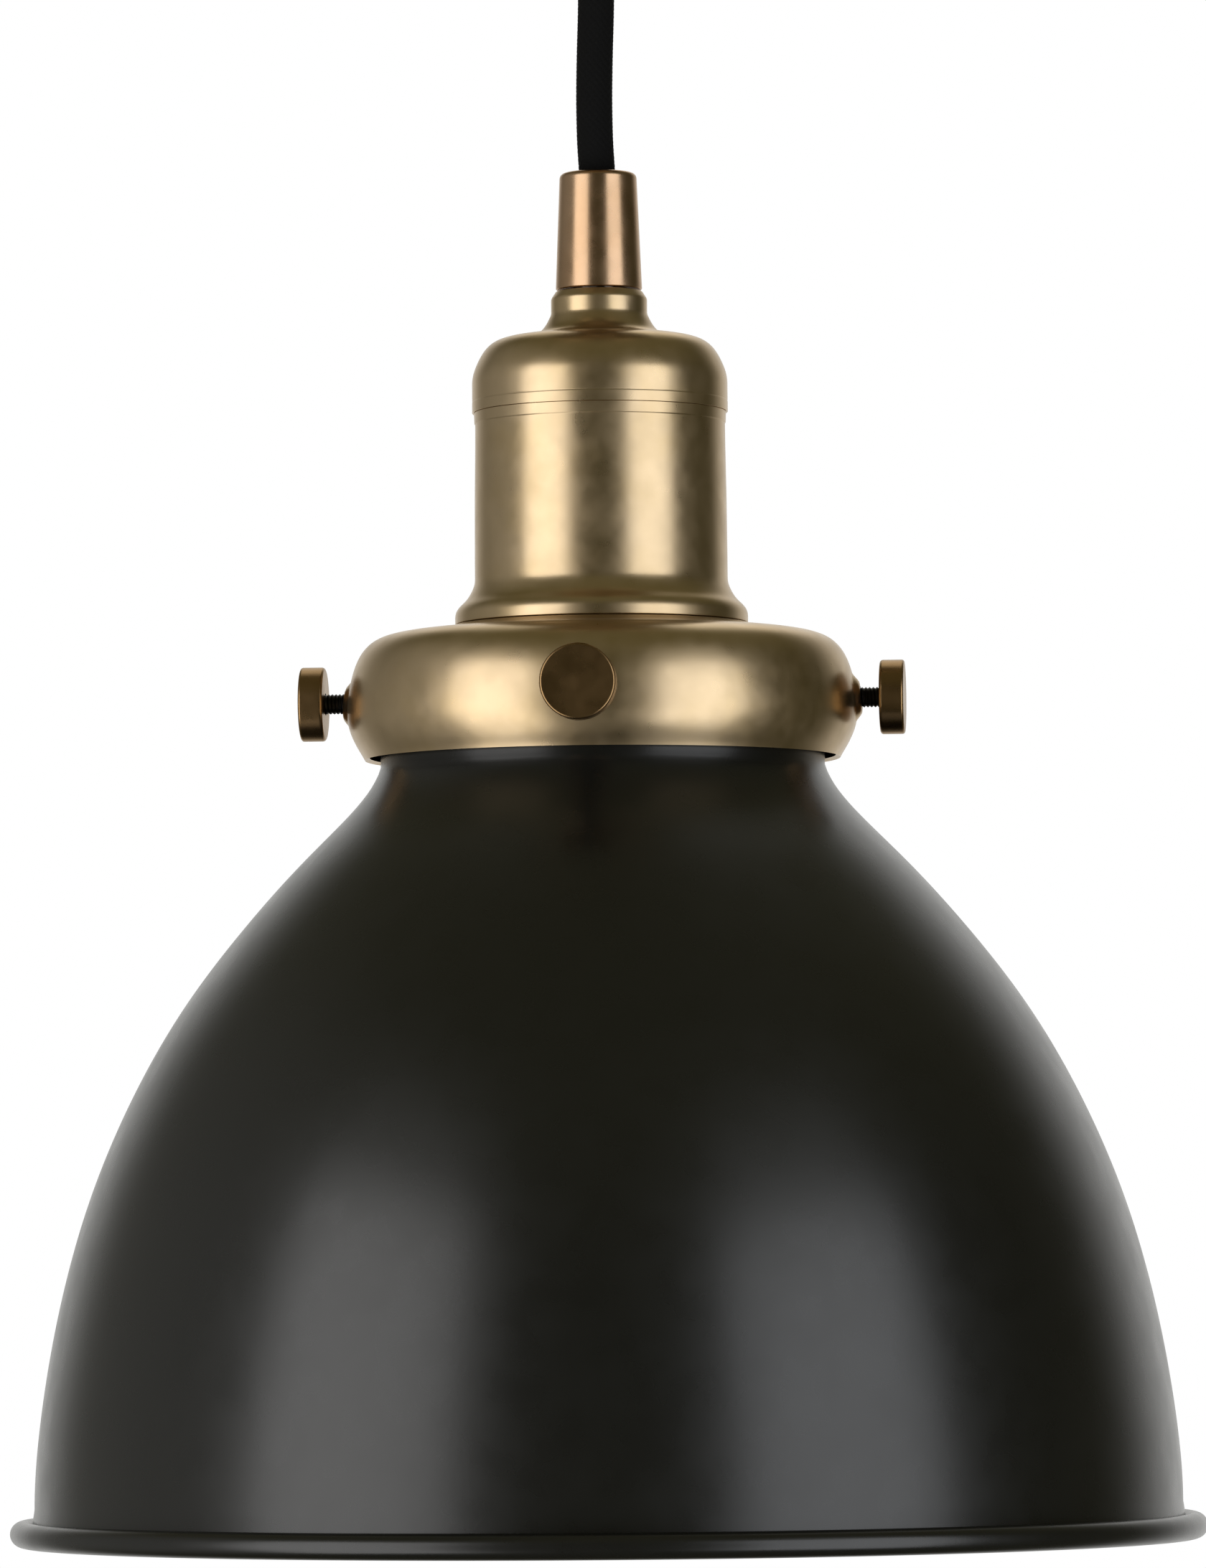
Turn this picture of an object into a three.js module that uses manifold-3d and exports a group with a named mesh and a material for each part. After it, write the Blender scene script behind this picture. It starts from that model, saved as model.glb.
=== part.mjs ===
// Pendant ceiling light: a ceiling rose, a short taut cord, a turned brass lampholder with a
// shade gallery, four thumbscrews and a bell-shaped shade with a rolled rim.
// Millimetres, +Z up. The origin is the centre of the rose's ceiling face and the lamp hangs
// towards -Z. The front of the lamp faces -Y.
import * as THREE from "three";
import { mergeVertices } from "three/addons/utils/BufferGeometryUtils.js";
import Module from "manifold-3d";

const wasm = await Module();
wasm.setup();

// Ceiling rose, heights from the ceiling plane.
const ROSE_RADIUS = 50;
const ROSE_DEPTH = 30;
const ROSE_CORNER = 7;
const ROSE_WALL = 1.2;
const SIDE_SCREW_Z = -9;
const SIDE_SCREW_RADIUS = 2;
const BRACKET_REACH = 46;
const BRACKET_WIDTH = 18;
const BRACKET_SHEET = 1.6;
const BRACKET_EAR = 14;
const BLOCK = { x: 12, length: 26, width: 13, top: -2, height: 9 };
const OUTLET_MOUTH_Z = -44.2;

// Lamp, heights from the top of its cord grip.
const GRIP_TOP = -90;
const GRIP_HEIGHT = 22.2;
const CAP_BOTTOM = -45.4;
const BARREL_FOOT = -85.2;
const SCREW_AXIS_Z = -99.9;
const NECK_TOP = -94;
const WALL_END = -250.8;
const RIM_CENTRE_Z = -255.3;

const CORD_RADIUS = 3.45;
const CORD_SIDES = 12;
const CORD_BORE = 3.85;
const NIPPLE_RADIUS = 4.9;
const THREAD_BORE = 5.2;
const LEAD_RADIUS = 1;
const SHEET = 1;
const SKIRT_RADIUS = 19.8;
const NECK_RADIUS = 41.8;
const WALL_RADIUS = 107.4;
const RIM_INNER_RADIUS = 1.9;

// Thumbscrews, distances from the lamp's axis.
const SCREW_NAMES = ["front", "right", "back", "left"];
const SHAFT_RADIUS = 1.93;
const SHAFT_HOLE = 2.25;
const SHAFT_TIP = 42.1;
const KNOB_INNER_FACE = 52.4;
const KNOB_THICKNESS = 4.6;
const KNOB_RADIUS = 7;
const KNOB_SOCKET_DEPTH = 2.6;

const GAP = 0.3;
const FINE = 36; // sides of the large turned pieces
const MEDIUM = 28; // sides of the lampholder's pieces
const COARSE = 20; // sides of the small turned pieces

// The cord's centreline from inside the grip up to inside the rose: x and z, at y = 0.
const CORD_ROUTE = [
  [0, -118], [0, -112], [0, -106], [0, -100], [-0.02, -96], [-0.1, -92], [-0.25, -88.5],
  [-0.45, -85], [-0.58, -80], [-0.6, -76], [-0.52, -71], [-0.38, -66], [-0.2, -61],
  [-0.08, -56], [0, -51], [0, -46], [0, -40], [0, -33], [0, -26], [0, -18],
];

// Materials.
const metal = (color, roughness) =>
  new THREE.MeshStandardMaterial({ color, roughness, metalness: 1 });
const matte = (color, roughness) =>
  new THREE.MeshStandardMaterial({ color, roughness, metalness: 0 });
const BRASS = metal(0x9c8052, 0.3);
const DARK_BRASS = metal(0x5a4020, 0.4);
const STEEL = metal(0xb8b8b4, 0.35);
const BLACK_STEEL = metal(0x141414, 0.45);
const BLACK_PAINT = matte(0x1e1e1a, 0.45);
const BLACK_FABRIC = matte(0x141414, 0.9);
const CERAMIC = matte(0xe8e4da, 0.3);
const LIVE_PLASTIC = matte(0x5a3a22, 0.4);
const NEUTRAL_PLASTIC = matte(0x2a5a9a, 0.4);

// Geometry helpers.

// A three.js geometry as a manifold solid.
function solid(geometry) {
  const bare = geometry.clone();
  bare.deleteAttribute("normal");
  bare.deleteAttribute("uv");
  const merged = mergeVertices(bare, 1e-4);
  return new wasm.Manifold(
    new wasm.Mesh({
      numProp: 3,
      vertProperties: merged.attributes.position.array,
      triVerts: new Uint32Array(merged.index.array),
    }),
  );
}

// A manifold solid as a three.js geometry.
function geometryOf(made) {
  const mesh = made.getMesh();
  const geometry = new THREE.BufferGeometry();
  geometry.setAttribute("position", new THREE.BufferAttribute(mesh.vertProperties, 3));
  geometry.setIndex(new THREE.BufferAttribute(mesh.triVerts, 1));
  geometry.computeVertexNormals();
  return geometry;
}

// The first geometry with every other one cut away from it.
function cut(geometry, tools) {
  return geometryOf(tools.reduce((left, tool) => left.subtract(solid(tool)), solid(geometry)));
}

// The geometries joined into one.
function join(geometries) {
  const [first, ...others] = geometries.map(solid);
  return geometryOf(others.reduce((whole, other) => whole.add(other), first));
}

// A solid of revolution about Z from an outline of [radius, z] pairs. The outline either closes
// on itself or starts and ends on the axis.
function turned(outline, sides) {
  const points = outline.map(([r, z]) => new THREE.Vector2(r, z));
  if (THREE.ShapeUtils.area(points) < 0) points.reverse();
  const opensOnAxis = points.some((p) => p.x === 0);
  if (!opensOnAxis) points.push(points[0].clone());
  return new THREE.LatheGeometry(points, sides).rotateX(Math.PI / 2);
}

// Points on a circle in the outline's plane, angles in degrees from the outward direction.
function arc(r, z, radius, from, to, steps) {
  return Array.from({ length: steps + 1 }, (_, i) => {
    const angle = THREE.MathUtils.degToRad(from + ((to - from) * i) / steps);
    return [r + radius * Math.cos(angle), z + radius * Math.sin(angle)];
  });
}

// Points on a smooth curve through the given [radius, z] pairs.
function smooth(through, steps) {
  const curve = new THREE.SplineCurve(through.map(([r, z]) => new THREE.Vector2(r, z)));
  return curve.getSpacedPoints(steps).map((p) => [p.x, p.y]);
}

// The outline of a sheet of even thickness whose outer surface follows the path; the sheet lies
// to the right of the direction of travel.
function sheetOutline(path, thickness) {
  const inner = path.map(([r, z], i) => {
    const [r0, z0] = path[Math.max(i - 1, 0)];
    const [r1, z1] = path[Math.min(i + 1, path.length - 1)];
    const length = Math.hypot(r1 - r0, z1 - z0);
    return [r + (thickness * (z1 - z0)) / length, z - (thickness * (r1 - r0)) / length];
  });
  return [...path, ...inner.reverse()];
}

// A round bar between two points.
function bar(radius, from, to, sides = 16) {
  const start = new THREE.Vector3(...from);
  const along = new THREE.Vector3(...to).sub(start);
  return new THREE.CylinderGeometry(radius, radius, along.length(), sides)
    .translate(0, along.length() / 2, 0)
    .applyQuaternion(
      new THREE.Quaternion().setFromUnitVectors(
        new THREE.Vector3(0, 1, 0),
        along.clone().normalize(),
      ),
    )
    .translate(start.x, start.y, start.z);
}

// A round tube or wire along a smooth curve through the points.
function wire(points, radius, sides, steps) {
  const section = new THREE.Shape(
    Array.from({ length: sides }, (_, i) => {
      const angle = (2 * Math.PI * i) / sides;
      return new THREE.Vector2(radius * Math.cos(angle), radius * Math.sin(angle));
    }),
  );
  const extrudePath = new THREE.CatmullRomCurve3(points.map((p) => new THREE.Vector3(...p)));
  return new THREE.ExtrudeGeometry(section, { steps, extrudePath, curveSegments: 1 });
}

function node(name, geometry, material) {
  const mesh = new THREE.Mesh(geometry, material);
  mesh.name = name;
  return mesh;
}

// Ceiling rose pieces.

function roseCup() {
  const corner = arc(
    ROSE_RADIUS - ROSE_CORNER, ROSE_CORNER - ROSE_DEPTH, ROSE_CORNER, 0, -90, 4,
  );
  const underside = [THREAD_BORE + GAP, -ROSE_DEPTH];
  const path = [[ROSE_RADIUS, 0], ...corner, underside];
  // The cup's outer face is followed from the rim down, so the sheet lies towards the axis.
  const holes = bar(
    SIDE_SCREW_RADIUS + GAP,
    [-ROSE_RADIUS - 5, 0, SIDE_SCREW_Z],
    [ROSE_RADIUS + 5, 0, SIDE_SCREW_Z],
  );
  return cut(turned(sheetOutline(path, ROSE_WALL), FINE), [holes]);
}

// A flat strip against the ceiling with an ear turned down at each end.
function roseBracket() {
  const inside = BRACKET_REACH - BRACKET_SHEET;
  const profile = new THREE.Shape(
    [
      [-BRACKET_REACH, 0], [-BRACKET_REACH, -BRACKET_EAR], [-inside, -BRACKET_EAR],
      [-inside, -BRACKET_SHEET], [inside, -BRACKET_SHEET], [inside, -BRACKET_EAR],
      [BRACKET_REACH, -BRACKET_EAR], [BRACKET_REACH, 0],
    ].map(([x, z]) => new THREE.Vector2(x, z)),
  );
  const strip = new THREE.ExtrudeGeometry(profile, { depth: BRACKET_WIDTH, bevelEnabled: false })
    .rotateX(Math.PI / 2)
    .translate(0, BRACKET_WIDTH / 2, 0);
  const slots = [-24, 24].map((x) =>
    new THREE.BoxGeometry(14, 4.5, 4).translate(x, 0, -BRACKET_SHEET / 2),
  );
  const tapped = bar(
    SIDE_SCREW_RADIUS + GAP,
    [-BRACKET_REACH - 5, 0, SIDE_SCREW_Z],
    [BRACKET_REACH + 5, 0, SIDE_SCREW_Z],
  );
  return cut(strip, [...slots, tapped]);
}

// A dome-headed screw lying along +X, its head resting just outside the cup.
function sideScrew() {
  const shaftLength = 11;
  const headRadius = 4;
  const headHeight = 2.2;
  return turned(
    [
      [0, -shaftLength], [SIDE_SCREW_RADIUS, -shaftLength], [SIDE_SCREW_RADIUS, 0],
      [headRadius, 0], [headRadius, headHeight / 3], [headRadius * 0.75, headHeight * 0.8],
      [0, headHeight],
    ],
    16,
  )
    .rotateY(Math.PI / 2)
    .translate(ROSE_RADIUS + GAP, 0, 0);
}

// The threaded outlet that the cord hangs from, with a flared mouth.
function cordOutlet() {
  return turned(
    [
      [CORD_BORE, -22], [THREAD_BORE - GAP, -22], [THREAD_BORE - GAP, -ROSE_DEPTH - GAP],
      [10, -ROSE_DEPTH - GAP], [10, -32], [8.6, -33], [8, -42.6], [7.4, -43.8],
      [6.2, OUTLET_MOUTH_Z], [5.2, OUTLET_MOUTH_Z], [4.3, -42.4], [CORD_BORE, -39.5],
    ],
    COARSE,
  );
}

function hexNut(bore, across, top, height) {
  const outside = new THREE.CylinderGeometry(across / Math.sqrt(3), across / Math.sqrt(3), height, 6)
    .rotateX(Math.PI / 2)
    .translate(0, 0, top - height / 2);
  return cut(outside, [bar(bore, [0, 0, top + 1], [0, 0, top - height - 1], COARSE)]);
}

// A block with two wire holes along X and a clamp screw hole under each.
function terminalBlock() {
  const { x, length, width, top, height } = BLOCK;
  const body = new THREE.BoxGeometry(length, width, height).translate(
    x + length / 2, 0, top - height / 2,
  );
  const holes = [-1, 1].flatMap((side) => {
    const y = (side * width) / 4;
    const z = top - height / 2;
    return [
      bar(1.7, [x - 1, y, z], [x + length + 1, y, z], 12),
      bar(1.8, [x + length / 2, y, z], [x + length / 2, y, top - height - 1], 12),
    ];
  });
  return cut(body, holes);
}

function blockScrew(side) {
  const { x, length, width, top, height } = BLOCK;
  const y = (side * width) / 4;
  const bottom = top - height;
  return bar(1.4, [x + length / 2, y, bottom + 2], [x + length / 2, y, bottom - 0.4], 12);
}

function roseLead(side) {
  const { x, width, top, height } = BLOCK;
  const y = (side * width) / 4;
  const z = top - height / 2;
  return wire(
    [[0.4, side * 1.5, -17.7], [1, side * 1.8, -13], [4, side * 2.6, -8.4], [8, y, z], [x + 6, y, z]],
    LEAD_RADIUS, 8, 10,
  );
}

// Lamp pieces, in the frame whose origin is the top of the cord grip.

function cordGrip() {
  const body = turned(
    [
      [CORD_BORE, -0.8], [4.4, 0], ...arc(6.35, -1, 1, 90, 0, 3), [8.15, -GRIP_HEIGHT],
      [THREAD_BORE, -GRIP_HEIGHT], [THREAD_BORE, -13.2], [CORD_BORE, -13.2],
    ],
    COARSE,
  );
  return cut(body, [bar(1.9, [0, 2, -8], [0, 12, -8])]);
}

function nipple() {
  return turned(
    [
      [CORD_BORE, -13.5], [NIPPLE_RADIUS, -13.5], [NIPPLE_RADIUS, -38], [CORD_BORE, -38],
    ],
    COARSE,
  );
}

function holderCap() {
  return turned(
    [
      [THREAD_BORE, -GRIP_HEIGHT - GAP], [8.2, -GRIP_HEIGHT - GAP], [9.05, -23.8], [9.05, -26.5],
      [9.5, -27.7], [10.3, -29.2], [11.8, -30.5], [16, -31.1], [19.6, -31.9], [21.8, -33.7],
      [22.9, -35.9], [23.9, -38.2], [24.1, -39.8], [24.1, CAP_BOTTOM], [22.6, CAP_BOTTOM],
      [22.6, -38.4], [21, -35.4], [18.8, -33.8], [12, -33], [THREAD_BORE, -33],
    ],
    MEDIUM,
  );
}

// The barrel screws up into the cap and stands on the gallery; its threaded skirt goes through
// the gallery and takes the clamp ring.
function holderBarrel() {
  const flare = smooth([[23.8, -76], [24.3, -78.7], [25.7, -81.4], [27.2, -83.4], [27.6, -84.6]], 6);
  return turned(
    [
      [21.2, -38.8], [22.2, -38.8], [22.2, CAP_BOTTOM - GAP], [23.8, CAP_BOTTOM - GAP],
      [23.6, -47.6], [23.8, -66], ...flare,
      [27.6, BARREL_FOOT], [SKIRT_RADIUS, BARREL_FOOT], [SKIRT_RADIUS, -98], [18.7, -98],
      [18.7, -83.5], [21.2, -83.5],
    ],
    MEDIUM,
  );
}

// A domed top, a bulging wall and a small raised boss round each screw hole.
function gallery() {
  const outerFace = [
    [SKIRT_RADIUS + 0.5, BARREL_FOOT - GAP], [29, BARREL_FOOT - GAP],
    ...smooth(
      [[34, -85.8], [38.8, -86.4], [43.4, -88.1], [45.6, -91], [47.4, -96.5], [48, -102],
        [47.2, -106.3], [44.8, -110.9]],
      8,
    ),
  ];
  const angles = SCREW_NAMES.map((_, i) => (i * Math.PI) / 2);
  const bosses = angles.map((angle) =>
    new THREE.CylinderGeometry(4.7, 3.5, 2.5, 20)
      .translate(0, -47.95, 0)
      .rotateZ(angle)
      .translate(0, 0, SCREW_AXIS_Z),
  );
  const holes = angles.map((angle) =>
    bar(SHAFT_HOLE, [0, -40, 0], [0, -54, 0]).rotateZ(angle).translate(0, 0, SCREW_AXIS_Z),
  );
  return cut(join([turned(sheetOutline(outerFace, SHEET), FINE), ...bosses]), holes);
}

function clampRing() {
  const top = BARREL_FOOT - GAP - SHEET - GAP;
  const inner = SKIRT_RADIUS + 0.4;
  return turned([[inner, top], [26, top], [26, top - 3.5], [inner, top - 3.5]], MEDIUM);
}

// A lip that hangs on the screw tips, a short neck, the bell and a rim rolled outwards.
function shade() {
  const lip = [[43, NECK_TOP - SHEET], ...arc(43, NECK_TOP - SHEET - 1.2, 1.2, 90, 180, 3).slice(1)];
  const bell = smooth(
    [[NECK_RADIUS, -112.2], [45, -118], [56.5, -130.1], [67.5, -142.3], [79.8, -158.5],
      [89, -174.7], [96.8, -193], [102.6, -213.5], [106.2, -234], [WALL_RADIUS, WALL_END]],
    9,
  );
  const roll = arc(
    WALL_RADIUS + RIM_INNER_RADIUS, RIM_CENTRE_Z, RIM_INNER_RADIUS, 180, 475, 6,
  );
  return turned(sheetOutline([...lip, ...bell, ...roll], SHEET), FINE);
}

function thumbscrewShaft() {
  const length = KNOB_INNER_FACE + KNOB_SOCKET_DEPTH - GAP - SHAFT_TIP;
  return turned(
    [[0, 0], [1.2, 0], [SHAFT_RADIUS, 0.8], [SHAFT_RADIUS, length], [0, length]],
    16,
  )
    .rotateX(Math.PI / 2)
    .translate(0, -SHAFT_TIP, SCREW_AXIS_Z);
}

function thumbscrewKnob() {
  const edge = 0.9;
  return turned(
    [
      [0, KNOB_SOCKET_DEPTH], [SHAFT_HOLE, KNOB_SOCKET_DEPTH], [SHAFT_HOLE, 0],
      ...arc(KNOB_RADIUS - edge, edge, edge, -90, 0, 2),
      ...arc(KNOB_RADIUS - edge, KNOB_THICKNESS - edge, edge, 0, 90, 2),
      [0, KNOB_THICKNESS],
    ],
    16,
  )
    .rotateX(Math.PI / 2)
    .translate(0, -KNOB_INNER_FACE, SCREW_AXIS_Z);
}

// Lampholder insides.

function socketInsulator() {
  const top = -53;
  const body = turned(
    [
      [0, top], [20.7, top], [20.7, -83.2], [18.2, -83.2], [18.2, -97], [14.7, -97],
      [14.7, -64], [0, -64],
    ],
    MEDIUM,
  );
  const rivetHole = bar(1.8, [0, 0, top + 1], [0, 0, -66], 12);
  const screwHoles = [-9, 9].map((x) => bar(1.7, [x, 0, top + 1], [x, 0, top - 6.5], 12));
  return cut(body, [rivetHole, ...screwHoles]);
}

function screwShell() {
  return turned(
    [
      [7, -66], [14.3, -66], [14.3, -96], [13.6, -96], [13.6, -66.8], [7, -66.8],
    ],
    MEDIUM,
  );
}

function centreContact() {
  return turned([[0, -51], [1.4, -51], [1.4, -64.3], [4.5, -64.3], [4.5, -65.5], [0, -65.5]], 16);
}

function terminalScrew(x) {
  return turned([[0, -59], [1.3, -59], [1.3, -52.7], [2.6, -52.7], [2.6, -50.9], [0, -50.9]], 16)
    .translate(x, 0, 0);
}

function lampLead(side) {
  return wire(
    [[side * 1.6, 0, -28.3], [side * 1.6, 0, -34], [side * 1.8, 0.6, -39], [side * 4.6, 3, -44],
      [side * 8.4, 4, -48.4], [side * 9, 4.2, -52.4]],
    LEAD_RADIUS, 8, 12,
  );
}

// The assembly.

function ceilingRose() {
  const rose = new THREE.Group();
  rose.add(
    node("rose_cup", roseCup(), BRASS),
    node("rose_bracket", roseBracket(), STEEL),
    node("cord_outlet", cordOutlet(), BRASS),
    node("outlet_locknut", hexNut(THREAD_BORE, 14, -25, 3.5), STEEL),
    node("terminal_block", terminalBlock(), CERAMIC),
    node("block_screw_live", blockScrew(-1), STEEL),
    node("block_screw_neutral", blockScrew(1), STEEL),
    node("rose_lead_live", roseLead(-1), LIVE_PLASTIC),
    node("rose_lead_neutral", roseLead(1), NEUTRAL_PLASTIC),
  );
  for (const [i, name] of ["right", "left"].entries()) {
    const screw = node(`rose_screw_${name}`, sideScrew(), BRASS);
    screw.rotation.z = i * Math.PI;
    screw.position.z = SIDE_SCREW_Z;
    rose.add(screw);
  }
  return rose;
}

function cord() {
  const points = CORD_ROUTE.map(([x, z]) => [x, 0, z]);
  return node("cord", wire(points, CORD_RADIUS, CORD_SIDES, 16), BLACK_FABRIC);
}

function thumbscrews() {
  const all = new THREE.Group();
  SCREW_NAMES.forEach((name, i) => {
    const screw = new THREE.Group();
    screw.add(
      node(`screw_shaft_${name}`, thumbscrewShaft(), BLACK_STEEL),
      node(`screw_knob_${name}`, thumbscrewKnob(), DARK_BRASS),
    );
    screw.rotation.z = (i * Math.PI) / 2;
    all.add(screw);
  });
  return all;
}

function lamp() {
  const whole = new THREE.Group();
  whole.add(
    node("cord_grip", cordGrip(), BRASS),
    node("grip_screw", bar(1.55, [0, 4, -8], [0, 7.1, -8]), BLACK_STEEL),
    node("nipple", nipple(), STEEL),
    node("nipple_locknut", hexNut(THREAD_BORE, 15, -33.3, 3), STEEL),
    node("holder_cap", holderCap(), BRASS),
    node("holder_barrel", holderBarrel(), BRASS),
    node("gallery", gallery(), BRASS),
    node("gallery_clamp_ring", clampRing(), BRASS),
    node("shade", shade(), BLACK_PAINT),
    node("socket_insulator", socketInsulator(), CERAMIC),
    node("screw_shell", screwShell(), BRASS),
    node("centre_contact", centreContact(), BRASS),
    node("terminal_screw_live", terminalScrew(-9), STEEL),
    node("terminal_screw_neutral", terminalScrew(9), STEEL),
    node("lamp_lead_live", lampLead(-1), LIVE_PLASTIC),
    node("lamp_lead_neutral", lampLead(1), NEUTRAL_PLASTIC),
    thumbscrews(),
  );
  whole.position.z = GRIP_TOP;
  return whole;
}

const pendant = new THREE.Group();
pendant.add(ceilingRose(), cord(), lamp());

export default pendant;
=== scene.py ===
"""Looks of the pendant ceiling light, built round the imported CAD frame.

Outlines are [radius, height] pairs about the lamp's axis. They and the named sizes used in them
are in millimetres, and all other lengths are in metres. Heights in the outlines of lamp pieces
count from the top of the cord grip, and those of rose pieces from the ceiling.
"""

import math

import bpy
import numpy as np
from mathutils import Matrix, Vector


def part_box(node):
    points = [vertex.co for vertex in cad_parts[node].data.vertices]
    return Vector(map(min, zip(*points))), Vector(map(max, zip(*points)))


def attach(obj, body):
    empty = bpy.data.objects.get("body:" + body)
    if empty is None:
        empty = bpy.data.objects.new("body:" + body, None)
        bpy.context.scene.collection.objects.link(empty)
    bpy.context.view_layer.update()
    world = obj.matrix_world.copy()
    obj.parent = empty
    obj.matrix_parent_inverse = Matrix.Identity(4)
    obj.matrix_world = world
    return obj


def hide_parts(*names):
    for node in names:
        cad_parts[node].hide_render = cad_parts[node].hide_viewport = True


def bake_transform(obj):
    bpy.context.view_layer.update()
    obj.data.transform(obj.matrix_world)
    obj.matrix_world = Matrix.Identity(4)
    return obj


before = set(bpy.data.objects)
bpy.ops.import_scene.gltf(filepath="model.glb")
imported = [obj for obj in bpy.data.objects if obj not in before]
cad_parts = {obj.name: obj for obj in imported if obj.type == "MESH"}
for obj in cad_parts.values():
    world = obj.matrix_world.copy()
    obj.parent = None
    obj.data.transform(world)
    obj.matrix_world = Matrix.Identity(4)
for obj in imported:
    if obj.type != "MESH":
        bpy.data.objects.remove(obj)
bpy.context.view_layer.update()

MM = 0.001
QUARTER = math.pi / 2  # the angle from one thumbscrew to the next
GRIP_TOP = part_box("cord_grip")[1].z


def middle_height(node):
    """The height half-way up a CAD node, in metres."""
    low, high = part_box(node)
    return (low.z + high.z) / 2


SCREW_AXIS = middle_height("screw_knob_front")
SCREW_NAMES = ["front", "right", "back", "left"]

# ---------------------------------------------------------------- camera

EYE_DISTANCE = 1.65
EYE_BELOW_GRIP = 0.208
AIM_BELOW_GRIP = 0.1156
EYE_AZIMUTH = math.radians(4.6)
ROLL = math.radians(-0.47)
LONG_SIDE_MM = 36
FOCAL_LENGTH = 201.5
NEAREST_SEEN, FARTHEST_SEEN = 0.05, 100


def make_camera():
    """A long lens at the height of the shade, looking slightly up, a little to the right."""
    data = bpy.data.cameras.new("camera")
    data.sensor_width = LONG_SIDE_MM
    data.lens = FOCAL_LENGTH
    data.clip_start, data.clip_end = NEAREST_SEEN, FARTHEST_SEEN
    camera = bpy.data.objects.new("camera", data)
    bpy.context.scene.collection.objects.link(camera)
    eye = Vector((math.sin(EYE_AZIMUTH), -math.cos(EYE_AZIMUTH), 0)) * EYE_DISTANCE
    eye.z = GRIP_TOP - EYE_BELOW_GRIP
    aim = Vector((0, 0, GRIP_TOP - AIM_BELOW_GRIP))
    facing = (aim - eye).to_track_quat("-Z", "Y").to_matrix()
    camera.matrix_world = Matrix.Translation(eye) @ (
        facing @ Matrix.Rotation(ROLL, 3, "Z")
    ).to_4x4()
    bpy.context.scene.camera = camera


# ---------------------------------------------------------------- outlines


CORNER_STEPS = 6
MOST_OF_A_SIDE = 0.48  # the part of a side that one corner's rounding may use up


def rounded(corners, closed=False):
    """The polyline through (r, z) or (r, z, radius) corners, with those of a radius rounded."""
    points = []
    count = len(corners)
    for i, corner in enumerate(corners):
        here = np.array(corner[:2], float)
        radius = corner[2] if len(corner) > 2 else 0
        if radius == 0 or (not closed and i in (0, count - 1)):
            points.append(tuple(here))
            continue
        before = np.array(corners[i - 1][:2], float) - here
        after = np.array(corners[(i + 1) % count][:2], float) - here
        reach = min(np.linalg.norm(before), np.linalg.norm(after))
        before /= np.linalg.norm(before)
        after /= np.linalg.norm(after)
        half = math.acos(float(np.clip(before @ after, -1, 1))) / 2
        tangent = min(radius / math.tan(half), MOST_OF_A_SIDE * reach)
        radius = tangent * math.tan(half)
        middle = (before + after) / np.linalg.norm(before + after)
        centre = here + middle * radius / math.sin(half)
        first = here + before * tangent - centre
        sweep = math.pi - 2 * half
        turn = math.copysign(1, first[0] * -middle[1] + first[1] * middle[0])
        for k in range(CORNER_STEPS + 1):
            angle = turn * sweep * k / CORNER_STEPS
            c, s = math.cos(angle), math.sin(angle)
            spun = (first[0] * c - first[1] * s, first[0] * s + first[1] * c)
            points.append(tuple(centre + np.array(spun)))
    return points


def arc(r, z, radius, start, end, steps):
    """Points on a circle in the outline's plane, angles in degrees from the outward direction."""
    angles = np.radians(np.linspace(start, end, steps + 1))
    return [(r + radius * math.cos(a), z + radius * math.sin(a)) for a in angles]


def curve_through(points, count, leave, arrive):
    """Points on the cubic curve of even curvature through the points, with its end directions."""
    known = np.array(points, float)
    chords = np.linalg.norm(np.diff(known, axis=0), axis=1)
    at = np.concatenate([[0], np.cumsum(chords)])
    n = len(known)
    matrix = np.zeros((n, n))
    right = np.zeros((n, known.shape[1]))
    matrix[0, 0] = matrix[-1, -1] = 1
    right[0] = np.array(leave, float) / np.linalg.norm(leave)
    right[-1] = np.array(arrive, float) / np.linalg.norm(arrive)
    for i in range(1, n - 1):
        h0, h1 = chords[i - 1], chords[i]
        matrix[i, i - 1 : i + 2] = h1, 2 * (h0 + h1), h0
        right[i] = 3 * (
            h1 / h0 * (known[i] - known[i - 1]) + h0 / h1 * (known[i + 1] - known[i])
        )
    slopes = np.linalg.solve(matrix, right)
    made = []
    for s in np.linspace(0, at[-1], count):
        i = min(int(np.searchsorted(at, s, side="right")) - 1, n - 2)
        h = chords[i]
        t = (s - at[i]) / h
        made.append(
            (2 * t**3 - 3 * t**2 + 1) * known[i]
            + (t**3 - 2 * t**2 + t) * h * slopes[i]
            + (3 * t**2 - 2 * t**3) * known[i + 1]
            + (t**3 - t**2) * h * slopes[i + 1]
        )
    return [tuple(p) for p in made]


def sheet(path, thickness):
    """The closed outline of a sheet with its outer face on the path and the rest to its right."""
    line = np.array(path, float)
    along = np.gradient(line, axis=0)
    along /= np.linalg.norm(along, axis=1)[:, None]
    inner = line + thickness * np.stack([along[:, 1], -along[:, 0]], axis=1)
    return [tuple(p) for p in line] + [tuple(p) for p in inner[::-1]]


# ---------------------------------------------------------------- meshes


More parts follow.
